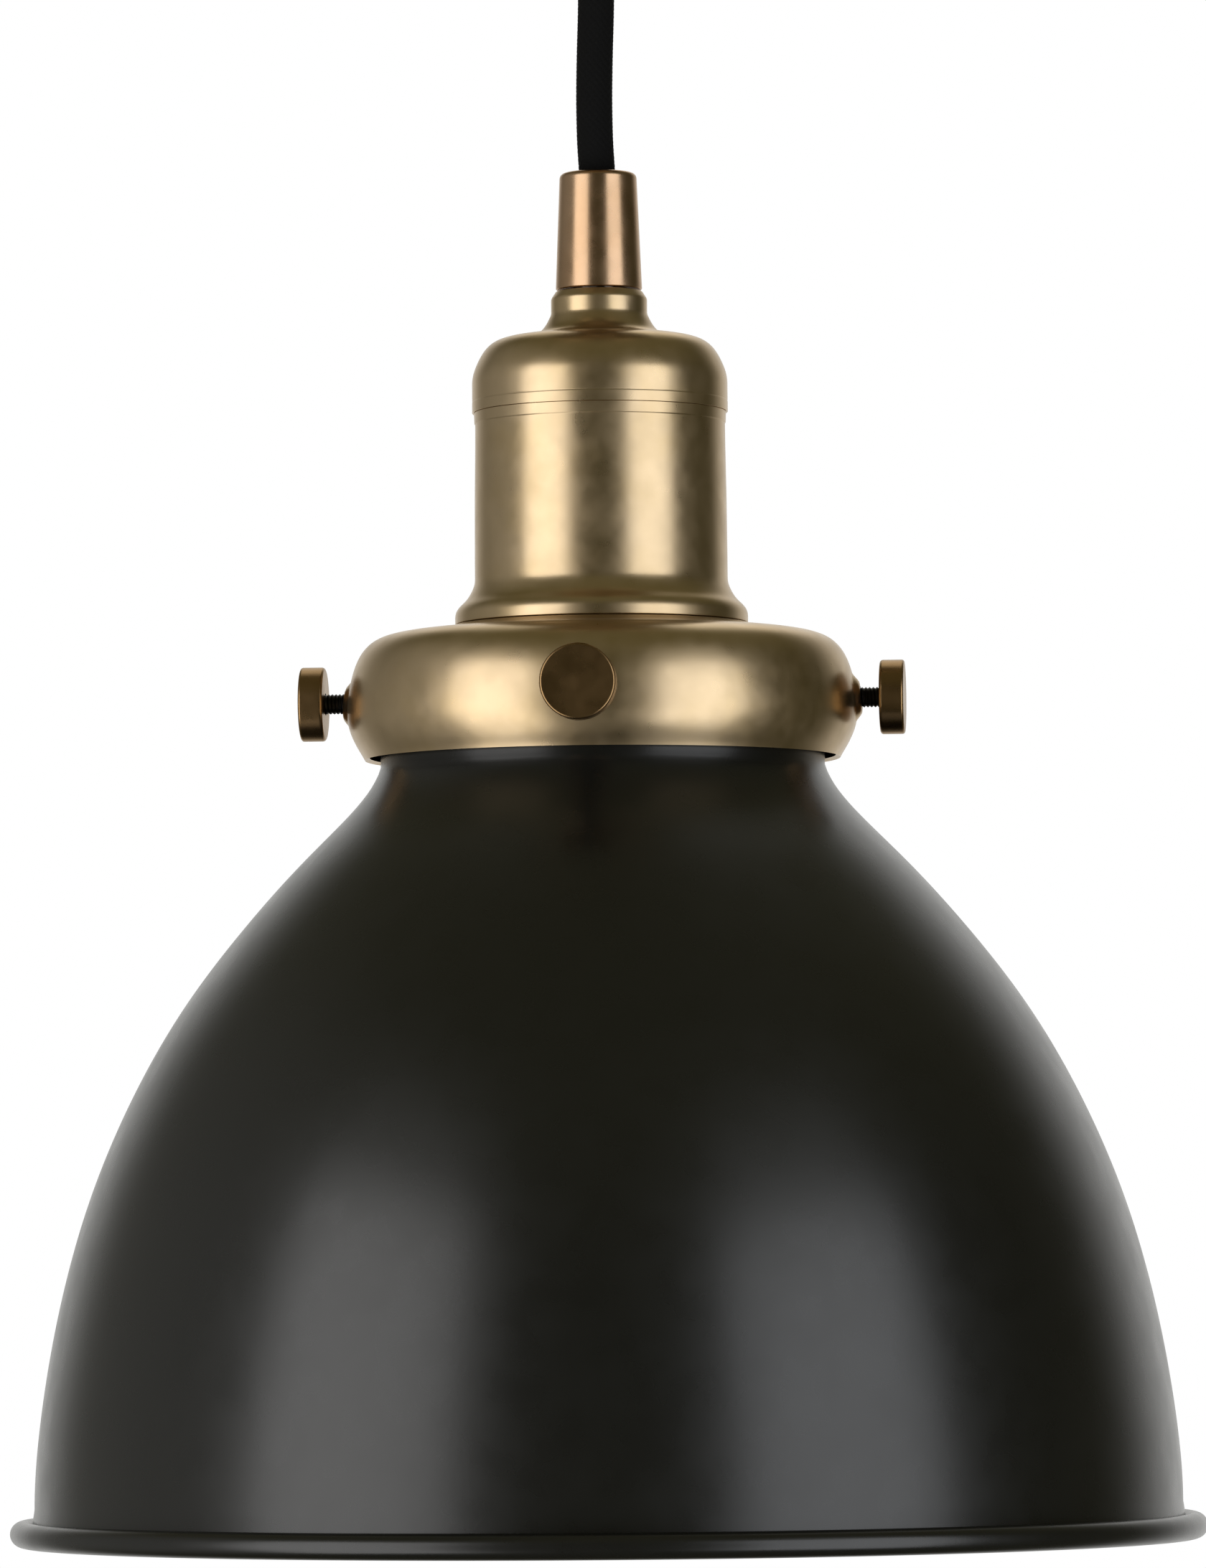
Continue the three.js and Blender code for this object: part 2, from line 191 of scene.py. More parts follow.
def make_piece(name, vertices, faces, material, crease=35):
    """A mesh object with smooth faces, sharp where two faces meet at more than the crease."""
    mesh = bpy.data.meshes.new(name)
    mesh.from_pydata([tuple(v) for v in vertices], [], faces)
    mesh.validate()
    piece = bpy.data.objects.new(name, mesh)
    bpy.context.scene.collection.objects.link(piece)
    mesh.materials.append(material)
    mesh.shade_smooth()
    mesh.set_sharp_from_angle(angle=math.radians(crease))
    even = piece.modifiers.new("even_normals", "WEIGHTED_NORMAL")
    even.keep_sharp = True
    return piece


def turned(name, outline, material, sides=192, base=0.0, relief=None, angles=None, crease=35):
    """A body of revolution about Z. The outline closes on itself or starts and ends on the axis,
    its height 0 lies at the base, and relief(r, z, angles) adds to the radius."""
    line = np.array(outline, float)
    area = np.sum(line[:, 0] * np.roll(line[:, 1], -1) - line[:, 1] * np.roll(line[:, 0], -1))
    if area < 0:
        line = line[::-1]
    spins = np.linspace(0, 2 * math.pi, sides, endpoint=False) if angles is None else angles
    sides = len(spins)
    on_axis = line[:, 0] < 1e-9
    vertices = []
    rings = []
    for (r, z), pole in zip(line, on_axis):
        if pole:
            rings.append([len(vertices)] * sides)
            vertices.append((0, 0, base + z * MM))
            continue
        rings.append(list(range(len(vertices), len(vertices) + sides)))
        radii = np.full(sides, r) + (0 if relief is None else relief(r, z, spins))
        x, y = radii * np.sin(spins) * MM, -radii * np.cos(spins) * MM
        vertices.extend(zip(x, y, np.full(sides, base + z * MM)))
    faces = []
    steps = len(line) - 1 if on_axis.any() else len(line)
    for i in range(steps):
        low, high = rings[i], rings[(i + 1) % len(rings)]
        for k in range(sides):
            j = (k + 1) % sides
            corners = [low[k], low[j], high[j], high[k]]
            face = [v for n, v in enumerate(corners) if v != corners[n - 1]]
            if len(face) > 2:
                faces.append(face)
    return make_piece(name, vertices, faces, material, crease)


def cylinder(radius, start, end, sides=48):
    """A throwaway cylinder between two points in metres, to cut holes with."""
    axis = Vector(end) - Vector(start)
    turn = axis.to_track_quat("Z", "Y").to_matrix()
    ring = [
        Vector((math.cos(a) * radius, math.sin(a) * radius, 0))
        for a in np.linspace(0, 2 * math.pi, sides, endpoint=False)
    ]
    vertices = [Vector(start) + turn @ p for p in ring]
    vertices += [Vector(end) + turn @ p for p in ring]
    faces = [
        (k, (k + 1) % sides, sides + (k + 1) % sides, sides + k) for k in range(sides)
    ]
    faces += [tuple(range(sides))[::-1], tuple(range(sides, 2 * sides))]
    return make_cutter(vertices, faces)


def slab(centre, size):
    """A throwaway upright block, in metres, to cut slots with."""
    signs = [(x, y, z) for x in (-1, 1) for y in (-1, 1) for z in (-1, 1)]
    corners = [
        Vector(centre) + Vector([s * d / 2 for s, d in zip(sign, size)]) for sign in signs
    ]
    faces = [(0, 1, 3, 2), (4, 6, 7, 5), (0, 4, 5, 1), (2, 3, 7, 6), (0, 2, 6, 4), (1, 5, 7, 3)]
    return make_cutter(corners, faces)


def make_cutter(vertices, faces):
    """A bare mesh object that takes its space out of a piece and is then deleted."""
    mesh = bpy.data.meshes.new("cutter")
    mesh.from_pydata([tuple(v) for v in vertices], [], faces)
    cutter = bpy.data.objects.new("cutter", mesh)
    bpy.context.scene.collection.objects.link(cutter)
    return cutter


def drilled(piece, cutters, crease=35):
    """The piece with the cutters' space taken out of it."""
    for cutter in cutters:
        hole = piece.modifiers.new("hole", "BOOLEAN")
        hole.operation = "DIFFERENCE"
        hole.solver = "EXACT"
        hole.object = cutter
    piece.modifiers.remove(piece.modifiers["even_normals"])
    graph = bpy.context.evaluated_depsgraph_get()
    made = bpy.data.meshes.new_from_object(piece.evaluated_get(graph))
    piece.modifiers.clear()
    piece.data = made
    made.set_sharp_from_angle(angle=math.radians(crease))
    piece.modifiers.new("even_normals", "WEIGHTED_NORMAL").keep_sharp = True
    for cutter in cutters:
        bpy.data.objects.remove(cutter)
    return piece


def settle(piece, body, slot, *nodes):
    """The piece stands for the CAD nodes and moves with the body. The slot is not used."""
    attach(piece, body)
    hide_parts(*nodes)


# ---------------------------------------------------------------- materials


class Nodes:
    """Short calls for building one node material."""

    def __init__(self, name):
        self.material = bpy.data.materials.new(name)
        self.material.use_nodes = True
        self.tree = self.material.node_tree
        self.shader = self.tree.nodes["Principled BSDF"]
        self.place = self.add("ShaderNodeTexCoord").outputs["Object"]

    def add(self, kind, **values):
        """A new node with the given settings."""
        node = self.tree.nodes.new(kind)
        for key, value in values.items():
            setattr(node, key, value)
        return node

    def link(self, source, target):
        self.tree.links.new(source, target)

    def put(self, **values):
        """Sets the shader's inputs, whose names are written with underscores here."""
        for name, value in values.items():
            label = name.replace("_", " ").title().replace("Ior", "IOR")
            self.shader.inputs[label].default_value = value

    def feed(self, label, source):
        """Drives one of the shader's inputs with an output."""
        self.link(source, self.shader.inputs[label])

    def noise(self, scale, detail, stretch=(1, 1, 1)):
        """Noise in the piece's own space, with about scale times stretch patches to the metre."""
        mapping = self.add("ShaderNodeMapping")
        mapping.inputs["Scale"].default_value = stretch
        self.link(self.place, mapping.inputs["Vector"])
        texture = self.add("ShaderNodeTexNoise")
        texture.inputs["Scale"].default_value = scale
        texture.inputs["Detail"].default_value = detail
        self.link(mapping.outputs["Vector"], texture.inputs["Vector"])
        return texture.outputs["Fac"]

    def range(self, source, low, high, start=0.0, end=1.0, smooth=False):
        """The source from start..end mapped onto low..high."""
        node = self.add("ShaderNodeMapRange")
        if smooth:
            node.interpolation_type = "SMOOTHSTEP"
        limits = {"From Min": start, "From Max": end, "To Min": low, "To Max": high}
        for label, value in limits.items():
            node.inputs[label].default_value = value
        self.link(source, node.inputs["Value"])
        return node.outputs["Result"]

    def mix(self, factor, first, second):
        """A colour between two, each a colour or an output."""
        node = self.add("ShaderNodeMix", data_type="RGBA")
        self.link(factor, node.inputs["Factor"])
        sockets = [s for s in node.inputs if s.type == "RGBA"]
        for value, target in zip((first, second), sockets):
            if isinstance(value, tuple):
                target.default_value = (*value, 1)
            else:
                self.link(value, target)
        return next(s for s in node.outputs if s.type == "RGBA")

    def bump(self, height, distance, strength):
        """Shallow relief, with the distance in metres."""
        node = self.add("ShaderNodeBump")
        node.inputs["Strength"].default_value = strength
        node.inputs["Distance"].default_value = distance
        self.link(height, node.inputs["Height"])
        self.feed("Normal", node.outputs["Normal"])

    def pointiness(self):
        """More than a half on the piece's edges, and less in its hollows."""
        return self.add("ShaderNodeNewGeometry").outputs["Pointiness"]


WORN_BRIGHTER = 1.12
BRASS_SPECULAR = (0.8, 0.75, 0.68, 1)


def brass(name, tone, shadow, rough=0.3, coat=0.3):
    """Satin lacquered brass: fine turning lines, cloudy patina and lighter worn edges."""
    n = Nodes(name)
    clouds = n.range(n.noise(70, 4), 0, 0.55, 0.4, 0.75, smooth=True)
    edges = n.range(n.pointiness(), 0, 0.6, 0.53, 0.62)
    worn = tuple(min(1.0, c * WORN_BRIGHTER) for c in tone)
    n.feed("Base Color", n.mix(edges, n.mix(clouds, tone, shadow), worn))
    n.feed("Roughness", n.range(n.noise(220, 3), rough - 0.03, rough + 0.05, 0.3, 0.7))
    turning_lines = n.noise(1, 2, (8, 8, 1500))
    n.bump(turning_lines, 0.000006, 0.15)
    n.put(metallic=1.0, coat_weight=coat, coat_roughness=0.22, specular_tint=BRASS_SPECULAR)
    return n.material


def black_enamel():
    """Satin black stove enamel with a faint orange peel."""
    n = Nodes("black_enamel")
    tone = n.mix(n.noise(25, 3), (0.0034, 0.0035, 0.0029), (0.0050, 0.0051, 0.0043))
    n.feed("Base Color", tone)
    n.feed("Roughness", n.range(n.noise(120, 3), 0.26, 0.30, 0.3, 0.7))
    n.bump(n.noise(900, 2), 0.00001, 0.5)
    n.put(specular_ior_level=0.6)
    return n.material


def black_textile():
    """Braided textile: dull yarn with a soft sheen and fine fibres."""
    n = Nodes("black_textile")
    fibres = n.noise(9000, 2, (1, 1, 0.25))
    n.feed("Base Color", n.mix(fibres, (0.0015, 0.0015, 0.0015), (0.005, 0.005, 0.005)))
    n.feed("Roughness", n.range(fibres, 0.75, 0.95))
    n.bump(fibres, 0.00004, 0.5)
    n.put(specular_ior_level=0.1, sheen_weight=0.02, sheen_roughness=0.4)
    return n.material


def steel(name, tone, rough):
    """Plated or blackened steel with a fine grain."""
    n = Nodes(name)
    grain = n.noise(900, 4)
    n.feed("Base Color", n.mix(grain, tone, tuple(c * 0.7 for c in tone)))
    n.feed("Roughness", n.range(grain, rough - 0.06, rough + 0.08))
    n.bump(grain, 0.00001, 0.4)
    n.put(metallic=1.0)
    return n.material


def porcelain():
    """Glazed off-white ceramic with a slightly uneven surface."""
    n = Nodes("porcelain")
    n.feed("Base Color", n.mix(n.noise(90, 3), (0.78, 0.75, 0.68), (0.70, 0.66, 0.58)))
    n.feed("Roughness", n.range(n.noise(400, 2), 0.14, 0.24))
    n.bump(n.noise(250, 2), 0.00003, 0.5)
    n.put(coat_weight=0.6, coat_roughness=0.08)
    return n.material


def plastic(name, tone):
    """Soft wire insulation."""
    n = Nodes(name)
    n.feed("Base Color", n.mix(n.noise(500, 3), tone, tuple(c * 0.75 for c in tone)))
    n.feed("Roughness", n.range(n.noise(900, 2), 0.4, 0.55))
    n.bump(n.noise(1500, 2), 0.00001, 0.4)
    return n.material


def pale_floor():
    """Matt off-white, faintly clouded."""
    n = Nodes("pale_floor")
    n.feed("Base Color", n.mix(n.noise(3, 3), (0.90, 0.89, 0.90), (0.87, 0.86, 0.87)))
    n.feed("Roughness", n.range(n.noise(40, 3), 0.7, 0.85))
    n.bump(n.noise(200, 3), 0.0002, 0.3)
    return n.material


BRASS = brass("brass", (0.56, 0.425, 0.26), (0.47, 0.34, 0.165))
GRIP_BRASS = brass("grip_brass", (0.50, 0.33, 0.20), (0.40, 0.24, 0.12), 0.26)
DARK_BRASS = brass("dark_brass", (0.28, 0.175, 0.08), (0.21, 0.125, 0.052), 0.27, 0.1)
ENAMEL = black_enamel()
TEXTILE = black_textile()
BLACK_STEEL = steel("black_steel", (0.03, 0.03, 0.03), 0.42)
ZINC = steel("zinc_steel", (0.52, 0.52, 0.50), 0.34)
PORCELAIN = porcelain()
BROWN = plastic("brown_insulation", (0.12, 0.05, 0.02))
BLUE = plastic("blue_insulation", (0.02, 0.10, 0.35))

# ---------------------------------------------------------------- cord

CORD_RADIUS = 3.45
CORD_STRANDS = 16
STRAND_PITCH = 1.5
STRAND_RELIEF = 0.13
STRAND_DIP = 0.45  # how much of its height a strand loses where the next one crosses it
CORD_SIDES = 128
CORD_RINGS = 520
# x and z of the cord's centreline in millimetres, from inside the grip up to inside the rose.
CORD_ROUTE = [
    (0, -118), (0, -112), (0, -106), (0, -100), (-0.02, -96), (-0.1, -92), (-0.25, -88.5),
    (-0.45, -85), (-0.58, -80), (-0.6, -76), (-0.52, -71), (-0.38, -66), (-0.2, -61),
    (-0.08, -56), (0, -51), (0, -46), (0, -40), (0, -33), (0, -26), (0, -18),
]  # fmt: skip


def braid(angle, along):
    """The height of the yarn above the cord's core, 0 to 1, in a plain over and under braid."""
    turn = angle / (2 * math.pi) * CORD_STRANDS
    rise = along / STRAND_PITCH
    one, other = turn + rise, turn - rise
    crown = 1 - (2 * (one % 1) - 1) ** 2
    dip = 1 - (2 * (other % 1) - 1) ** 2
    over = (np.floor(one) + np.floor(other)) % 2 < 1
    least = 1 - STRAND_DIP
    return np.where(over, crown * (least + STRAND_DIP * dip), dip * (least + STRAND_DIP * crown))


def make_cord():
    """A braided tube along the route, bending between the rose's outlet and the lamp."""
    around, rings = CORD_SIDES, CORD_RINGS
    line = np.array(curve_through(CORD_ROUTE, rings, (0, 1), (0, 1)))
    travel = np.concatenate([[0], np.cumsum(np.linalg.norm(np.diff(line, axis=0), axis=1))])
    heading = np.gradient(line, axis=0)
    heading /= np.linalg.norm(heading, axis=1)[:, None]
    spins = np.linspace(0, 2 * math.pi, around, endpoint=False)
    vertices = []
    for (x, z), (hx, hz), s in zip(line, heading, travel):
        radii = CORD_RADIUS - STRAND_RELIEF + STRAND_RELIEF * braid(spins, s)
        aside = radii * np.cos(spins)
        px, py, pz = x + aside * hz, radii * np.sin(spins), z - aside * hx
        vertices.extend(zip(px * MM, py * MM, pz * MM))
    faces = [
        (i * around + k, i * around + (k + 1) % around,
         (i + 1) * around + (k + 1) % around, (i + 1) * around + k)
        for i in range(rings - 1)
        for k in range(around)
    ]  # fmt: skip
    last = (rings - 1) * around
    faces.append(tuple(range(around))[::-1])
    faces.append(tuple(range(last, last + around)))
    cord = make_piece("cord_braided", vertices, faces, TEXTILE, 80)
    cord.modifiers.clear()
    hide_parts("cord")
    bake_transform(cord)


# ---------------------------------------------------------------- lamp


GRUB_HOLE_RADIUS = 1.8 * MM
GRUB_HOLE_BELOW_TOP = 8 * MM


def cord_grip():
    """The tapered sleeve that holds the cord, with a hole at the back for its grub screw."""
    outline = rounded(
        [
            (3.85, -1.2, 0.5), (4.3, 0, 0.4), (7.25, 0, 1.1), (8.15, -22, 0.25),
            (7.9, -22.2, 0.1), (5.2, -22.2), (5.2, -13.2), (3.85, -13.2),
        ],
        closed=True,
    )  # fmt: skip
    grip = turned("cord_grip_turned", outline, GRIP_BRASS, base=GRIP_TOP)
    hole_z = GRIP_TOP - GRUB_HOLE_BELOW_TOP
    drilled(grip, [cylinder(GRUB_HOLE_RADIUS, (0, 0.002, hole_z), (0, 0.012, hole_z))])
    settle(grip, "lamp", "brass", "cord_grip")


def holder_cap():
    """The lampholder's cap: a collar, a cove, a wide shoulder and a grooved skirt."""
    collar = rounded([(5.2, -22.5), (8.15, -22.5, 0.3), (9.07, -23.9, 1.2), (9.07, -26.4)])
    cove = curve_through(
        [(9.07, -26.6), (9.3, -27.3), (9.8, -28.3), (10.6, -29.5), (11.9, -30.5)],
        12, (0, -1), (0.9, -0.35),
    )  # fmt: skip
    shoulder = curve_through(
        [
            (12.3, -30.65), (15.5, -31.05), (17.9, -31.4), (19.9, -32.1), (21.4, -33.3),
            (22.4, -34.7), (23.2, -36.3), (23.85, -38.1), (24.1, -40),
        ],
        28, (1, -0.2), (0, -1),
    )  # fmt: skip
    skirt = rounded(
        [
            (24.1, -42.6), (24.1, -43.1, 0.2), (24.05, -43.25, 0.1), (24.12, -43.5, 0.2),
            (24.12, -45.4, 0.08), (22.6, -45.4), (22.6, -38.4, 2), (21.6, -34.3, 3),
            (12, -33), (5.2, -33),
        ]
    )  # fmt: skip
    cap = turned("holder_cap_spun", collar + cove + shoulder + skirt, BRASS, base=GRIP_TOP)
    settle(cap, "lamp", "brass", "holder_cap")


def holder_barrel():
    """The lampholder's barrel, which flares at its foot and goes on inside the gallery."""
    neck = rounded(
        [
            (21.2, -38.8), (22.2, -38.8, 0.3), (22.2, -45.42), (23.78, -45.42, 0.06),
            (23.72, -47.4, 0.2), (23.57, -47.65, 0.2), (23.6, -52), (23.75, -62), (23.82, -74),
        ]
    )  # fmt: skip
    flare = curve_through(
        [
            (23.82, -76.6), (23.95, -77.9), (24.5, -79.3), (25.7, -81.1), (26.9, -82.3),
            (27.5, -83.4), (27.6, -84.9),
        ],
        26, (0, -1), (0, -1),
    )  # fmt: skip
    foot = rounded(
        [
            (27.6, -85), (27.6, -85.45, 0.15), (26.4, -85.45), (26.4, -85.3), (19.8, -85.3),
            (19.8, -98, 0.3), (18.7, -98, 0.3), (18.7, -83.5), (21.2, -83.5),
        ]
    )  # fmt: skip
    barrel = turned("holder_barrel_spun", neck + flare + foot, BRASS, base=GRIP_TOP)
    settle(barrel, "lamp", "brass", "holder_barrel")


BOSS_HEIGHT = 1.0
BOSS_TOP_RADIUS = 2.7
BOSS_FOOT_RADIUS = 4.8
BOSS_WALL_RADIUS = 46.2  # the outline is the wall's outside wherever it is wider than this
SHAFT_HOLE = 2.2
GALLERY_THICKNESS = 1.0


def boss_relief(r, z, spins):
    """The pressed-out boss round each screw hole, on the outside of the gallery's wall."""
    if r < BOSS_WALL_RADIUS:
        return 0 * spins
    level = z - (SCREW_AXIS - GRIP_TOP) / MM
    nearest = (spins + QUARTER / 2) % QUARTER - QUARTER / 2
    reach = np.hypot(r * nearest, level)
    share = np.clip((BOSS_FOOT_RADIUS - reach) / (BOSS_FOOT_RADIUS - BOSS_TOP_RADIUS), 0, 1)
    return BOSS_HEIGHT * share * share * (3 - 2 * share)


def about_each_screw(start, end, count):
    """Angles in radians from start to end degrees past each of the four screws."""
    return [k * QUARTER + np.radians(np.linspace(start, end, count)) for k in range(4)]


def gallery():
    """The shade holder: a domed ring of sheet with four pressed-out bosses, drilled through."""
    wall = curve_through(
        [
            (30.3, -86.5), (34, -86.9), (38.8, -87.35), (41.6, -88.0), (43.5, -89.0),
            (45.3, -90.9), (46.5, -93.3), (47.5, -97), (47.98, -101.3), (47.75, -104.6),
            (46.9, -107), (45.85, -109), (44.75, -110.9),
        ],
        90, (1, -0.12), (-0.45, -0.9),
    )  # fmt: skip
    path = [(20.3, -85.5), (26.8, -85.5), (28.0, -85.65), (28.9, -86.1)] + wall
    outline = sheet(path, GALLERY_THICKNESS)
    fine, coarse = about_each_screw(-8, 8, 50), about_each_screw(9, 81, 49)
    spins = np.sort(np.concatenate(fine + coarse) % (2 * math.pi))
    ring = turned(
        "gallery_spun", outline, BRASS, base=GRIP_TOP, relief=boss_relief, angles=spins, crease=50
    )
    holes = []
    for k in range(4):
        turn = Matrix.Rotation(k * QUARTER, 3, "Z")
        inside, outside = (turn @ Vector((0, y, SCREW_AXIS)) for y in (-0.040, -0.056))
        holes.append(cylinder(SHAFT_HOLE * MM, inside, outside))
    drilled(ring, holes, 50)
    settle(ring, "lamp", "brass", "gallery")


CLAMP_RADIUS = 26
KNURL_DEPTH = 0.12
KNURL_RIDGES = 90


def clamp_ring():
    """The knurled ring that screws onto the barrel's foot and clamps the gallery to it."""
    outline = rounded(
        [
            (20.2, -86.6, 0.3), (CLAMP_RADIUS, -86.6, 0.6),
            (CLAMP_RADIUS, -90.1, 0.6), (20.2, -90.1, 0.3),
        ],
        closed=True,
    )  # fmt: skip

    def knurl(r, z, spins):
        on_rim = r > CLAMP_RADIUS - 0.5
        return KNURL_DEPTH * np.cos(spins * KNURL_RIDGES) if on_rim else 0 * spins

    ring = turned("clamp_ring_knurled", outline, BRASS, 720, GRIP_TOP, knurl)
    settle(ring, "lamp", "brass", "gallery_clamp_ring")


RIM_R = 109.6
RIM_Z = -255.35
RIM_INSIDE = 1.5
NECK_RADIUS = 41.8
SHADE_THICKNESS = 0.9


def shade():
    """The shade, one spun sheet: a turned-out lip, a straight neck, the bell and a rolled rim."""
    lip = arc(43, -96.2, 1.2, 90, 180, 6)
    neck = [(NECK_RADIUS, z) for z in (-98, -102, -106, -109, -111.2)]
    bell = curve_through(
        [
            (NECK_RADIUS, -112.3), (42.15, -113.4), (43.1, -115.3), (45, -118.1), (49.8, -123.4),
            (56.5, -130.1), (67.5, -142.3), (79.7, -158.4), (89, -174.7), (96.75, -193),
            (102.55, -213.5), (106.15, -234), (107.4, -250.8),
        ],
        110, (0, -1), (0, -1),
    )  # fmt: skip
    roll = arc(RIM_R, RIM_Z, RIM_INSIDE, 180, 450, 30)
    tuck = []
    for t, a in zip(np.linspace(0.1, 1, 8), np.radians(np.linspace(94, 136, 8))):
        radius = RIM_INSIDE - 0.25 * t
        tuck.append((RIM_R + radius * math.cos(a), RIM_Z + radius * math.sin(a)))
    outline = sheet(lip + neck + bell + roll + tuck, SHADE_THICKNESS)
    bowl = turned("shade_spun", outline, ENAMEL, 320, GRIP_TOP)
    settle(bowl, "lamp", "black_enamel", "shade")


# ---------------------------------------------------------------- thumbscrews

SHAFT_RADIUS = 1.93
THREAD_DEPTH = 0.28
THREAD_PITCH = 0.7
SHAFT_TIP = 42.1
TIP_RADIUS = 1.2
TIP_LENGTH = 0.8
SHAFT_IN_KNOB = 2.2
KNOB_RADIUS = 7
KNOB_THICKNESS = 4.6
KNOB_BORE = 2.1
KNOB_BORE_DEPTH = 2.6


def thread(r, z, spins):
    """Relief of a V thread on the shaft, and none on its tip."""
    if r < (TIP_RADIUS + SHAFT_RADIUS) / 2:
        return 0 * spins
    phase = (z / THREAD_PITCH - spins / (2 * math.pi)) % 1
    return -THREAD_DEPTH * np.abs(2 * phase - 1)


def thumbscrews():
    """Four threaded shafts, each with a round knob. They are turned upright, heights counting
    outwards from the lamp's axis, and then laid down."""
    face = -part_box("screw_knob_front")[1].y / MM
    shaft_end = face + SHAFT_IN_KNOB
    for k, name in enumerate(SCREW_NAMES):
        turn = Matrix.Translation((0, 0, SCREW_AXIS)) @ Matrix.Rotation(k * QUARTER, 4, "Z")
        outward = turn @ Matrix.Rotation(QUARTER, 4, "X")
        flanks = np.arange(SHAFT_TIP + TIP_LENGTH, shaft_end, THREAD_PITCH / 8)
        shaft = [(0, SHAFT_TIP), (TIP_RADIUS, SHAFT_TIP)]
        shaft += [(SHAFT_RADIUS, z) for z in flanks] + [(0, shaft_end)]
        rod = turned(
            f"shaft_{name}_threaded", shaft, BLACK_STEEL, 48, relief=thread, crease=80
        )
        rod.data.transform(outward)
        settle(rod, f"shaft_{name}", "black_steel", f"screw_shaft_{name}")
        disc = rounded(
            [
                (0, face + KNOB_BORE_DEPTH), (KNOB_BORE, face + KNOB_BORE_DEPTH),
                (KNOB_BORE, face), (KNOB_RADIUS, face, 0.6),
                (KNOB_RADIUS, face + KNOB_THICKNESS, 0.5), (0, face + KNOB_THICKNESS),
            ]
        )  # fmt: skip
        knob = turned(f"knob_{name}_turned", disc, DARK_BRASS, 128)
        knob.data.transform(outward)
        settle(knob, f"knob_{name}", "dark_brass", f"screw_knob_{name}")


# ---------------------------------------------------------------- lampholder insides


CONTACT_BORE = 0.0018
TERMINAL_BORE = 0.0017
TERMINAL_ASIDE = 0.009
SHELL_PITCH = 3.6
SHELL_RELIEF = 0.5
SHELL_OUTSIDE, SHELL_INSIDE = 14.25, 13.75


def insulator():
    """The ceramic body, bored for the centre contact and the two terminal screws."""
    body = rounded(
        [
            (0, -53), (20.7, -53, 0.8), (20.7, -83.2, 0.5), (18.2, -83.2), (18.2, -97, 0.8),
            (14.7, -97, 0.6), (14.7, -64), (0, -64),
        ]
    )  # fmt: skip
    ceramic = turned("insulator_glazed", body, PORCELAIN, 128, GRIP_TOP)
    top, bottom, terminal_bottom = (GRIP_TOP - depth for depth in (0.052, 0.066, 0.0595))
    holes = [cylinder(CONTACT_BORE, (0, 0, top), (0, 0, bottom), 24)]
    for x in (-TERMINAL_ASIDE, TERMINAL_ASIDE):
        holes.append(cylinder(TERMINAL_BORE, (x, 0, top), (x, 0, terminal_bottom), 24))
    drilled(ceramic, holes)
    settle(ceramic, "lamp", "porcelain", "socket_insulator")


def screw_shell():
    """The brass shell with its rolled screw thread, hanging from a flat top."""
    heights = np.linspace(-67.5, -95.6, 110)
    outer = [(SHELL_OUTSIDE, z) for z in heights]
    inner = [(SHELL_INSIDE, z) for z in heights[::-1]]
    outline = [(7, -66), (13.6, -66), (14.1, -66.4)] + outer + inner + [(13.4, -66.8), (7, -66.8)]

    def rolled(r, z, spins):
        if r < SHELL_INSIDE - 0.05:
            return 0 * spins
        return SHELL_RELIEF * (np.cos(2 * math.pi * (z / SHELL_PITCH) - spins) - 1) / 2

    shell = turned("screw_shell_rolled", outline, BRASS, 128, GRIP_TOP, rolled, crease=50)
    settle(shell, "lamp", "brass", "screw_shell")


# ---------------------------------------------------------------- ceiling rose


CUP_RADIUS = 50
CUP_DEPTH = 30
CUP_CORNER = 7
CUP_THICKNESS = 1.2
SIDE_SCREW_LEVEL = middle_height("rose_screw_right")
SIDE_SCREW_SEAT = 0.0503
SIDE_SCREW_HOLE = 0.0023
SCREW_HEAD_RADIUS = 4
SCREW_HEAD_SIDE = 0.9
SCREW_HEAD_RISE = 1.3
SLOT_LEVEL = 0.0021
SLOT_SIZE = (0.009, 0.0008, 0.0018)


def rose_cup():
    """The canopy: a shallow round cup of sheet with a hole for each side screw."""
    side = [(CUP_RADIUS, z) for z in (0, -6, -14)]
    corner = arc(CUP_RADIUS - CUP_CORNER, CUP_CORNER - CUP_DEPTH, CUP_CORNER, 0, -90, 14)
    path = side + corner + [(r, -CUP_DEPTH) for r in (30, 15, 5.5)]
    cup = turned("rose_cup_spun", sheet(path, CUP_THICKNESS), BRASS, 256)
    left, right = (Vector((x, 0, SIDE_SCREW_LEVEL)) for x in (-0.056, 0.056))
    drilled(cup, [cylinder(SIDE_SCREW_HOLE, left, right)])
    settle(cup, "rose", "brass", "rose_cup")


def cord_outlet():
    """The collared bush in the cup's floor that the cord comes out of."""
    mouth = rounded(
        [
            (3.85, -22), (4.9, -22, 0.3), (4.9, -30.3), (10, -30.3, 0.3), (10, -32.2, 0.6),
            (8.4, -33.2, 1.2), (7.9, -42.4, 0.5), (7.3, -44.2, 0.7), (5.4, -44.2, 0.6),
            (4.2, -42, 1), (3.85, -39.5),
        ],
        closed=True,
    )  # fmt: skip
    outlet = turned("cord_outlet_turned", mouth, BRASS, 160)
    settle(outlet, "rose", "brass", "cord_outlet")


